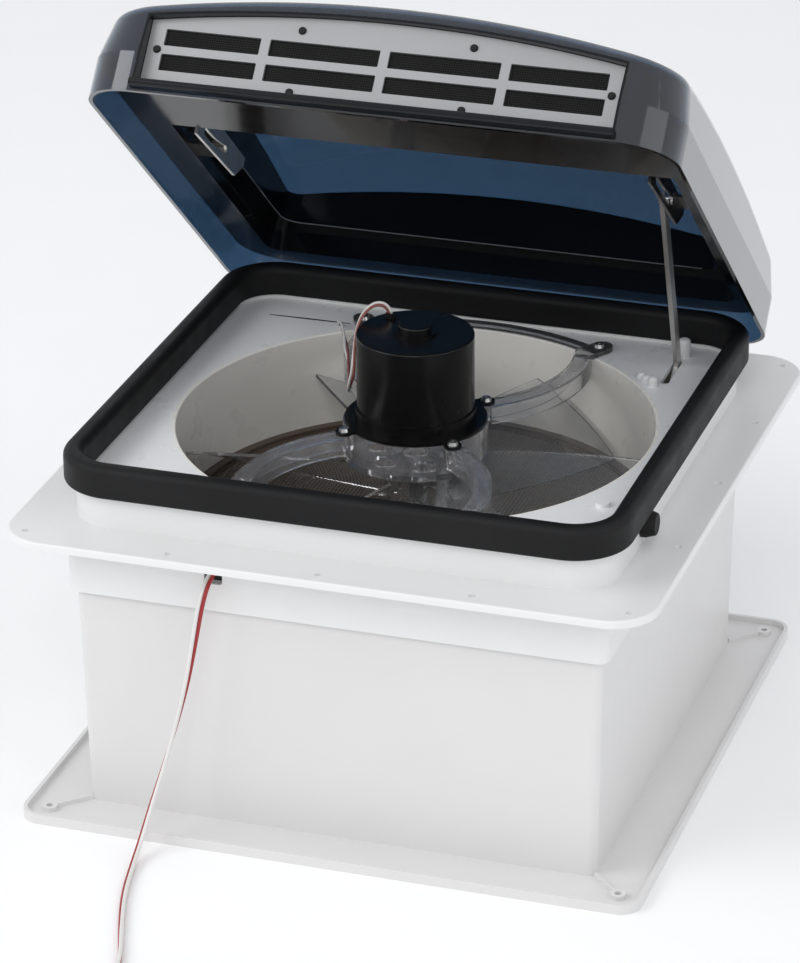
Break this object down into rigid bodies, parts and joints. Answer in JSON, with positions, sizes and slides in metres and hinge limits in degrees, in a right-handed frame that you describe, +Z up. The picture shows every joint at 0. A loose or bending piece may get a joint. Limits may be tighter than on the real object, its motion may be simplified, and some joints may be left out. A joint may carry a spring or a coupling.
{
  "type": "powered roof vent fan",
  "caption": "Square roof vent with a hinged smoke lid held open by a geared arm over a clear fan, black motor and ducted well, on a deep ceiling trim.",
  "frame": {"origin": "centre of the ceiling trim's four screw holes, at the trim's underside, which the part stands on", "axes": "+Z up through the fan, -Y towards the grille side of the lid, +X towards the lift arm's side"},
  "size_m": [0.42, 0.6628, 0.5137],
  "materials": {
    "white_frame": "satin moulded white",
    "cream_duct": "satin moulded",
    "black_seal": "matte",
    "brown_screen": "matte",
    "clear_plastic": "clear polycarbonate",
    "black_motor": "gloss black",
    "zinc_steel": "zinc plated",
    "bearing_steel": "ground",
    "magnet": "ferrite",
    "brush_board": "laminate",
    "carbon": "carbon",
    "copper": "copper",
    "arm_steel": "pressed strip",
    "gear_nylon": "nylon",
    "smoke_lid": "smoked, high gloss",
    "black_gloss": "gloss",
    "silver_grille": "satin silver",
    "black_mesh": "woven",
    "black_screw": "black oxide",
    "wire_red": "twin insulated wire, one red and one white"
  },
  "bodies": {
    "base": {"roof_frame": "white_frame", "rim_seal": "black_seal", "deck_plate": "white_frame", "fan_duct": "cream_duct", "screen_frame": "brown_screen", "insect_screen": "brown_screen", "ceiling_garnish": "white_frame", "motor_bracket": "clear_plastic", "bracket_screws": "zinc_steel", "motor_screws": "zinc_steel", "motor_can": "black_motor", "motor_cap": "black_motor", "end_bell": "black_motor", "upper_bearing": "bearing_steel", "lower_bearing": "bearing_steel", "field_magnets": "magnet", "brush_holder": "brush_board", "brushes": "carbon", "gear_case": "white_frame", "arm_pivot": "zinc_steel", "deck_posts": "white_frame", "hinge_brackets": "zinc_steel", "hinge_pins": "zinc_steel", "rain_sensor": "black_seal", "motor_grommet": "black_seal", "motor_leads": "wire_red", "power_lead": "wire_red", "lead_coil": "wire_red", "lead_gland": "black_seal"},
    "rotor": {"fan_shaft": "zinc_steel", "armature": "magnet", "armature_winding": "copper", "commutator": "copper", "fan_blades": "clear_plastic", "fan_nut": "zinc_steel"},
    "lid": {"lid_dome": "smoke_lid", "grille_tray": "black_gloss", "vent_grille": "silver_grille", "grille_mesh": "black_mesh", "grille_screws": "black_screw", "lid_liner": "black_gloss", "rain_baffle": "black_gloss", "right_rail": "arm_steel", "left_rail": "arm_steel", "lid_knuckles": "zinc_steel"},
    "arm": {"lift_arm": "arm_steel", "arm_pin": "bearing_steel", "sector_gear": "gear_nylon"},
    "crank": {"lift_worm": "gear_nylon", "crank_shaft": "zinc_steel", "crank_knob": "brown_screen"}
  },
  "joints": [
    {"name": "lid_hinge", "type": "hinge", "parent": "base", "child": "lid", "pos_m": [0, 0.1716, 0.214], "axis": [1, 0, 0], "range_deg": [0, 41]},
    {"name": "arm_pivot", "type": "hinge", "parent": "base", "child": "arm", "pos_m": [0.1375, 0.11, 0.199], "axis": [1, 0, 0], "range_deg": [0, 55.35]},
    {"name": "crank_turn", "type": "hinge", "parent": "base", "child": "crank", "pos_m": [0.1415, 0.1332, 0.1], "axis": [0, 0, 1], "range_deg": [-1328.4, 0]},
    {"name": "fan_spin", "type": "hinge", "parent": "base", "child": "rotor", "pos_m": [0, -0.005, 0.2], "axis": [0, 0, 1], "continuous": true}
  ],
  "couplings": [
    {"joint": "arm_pivot", "follows": "lid_hinge", "ratio": 1.35},
    {"joint": "crank_turn", "follows": "lid_hinge", "ratio": -32.4}
  ]
}
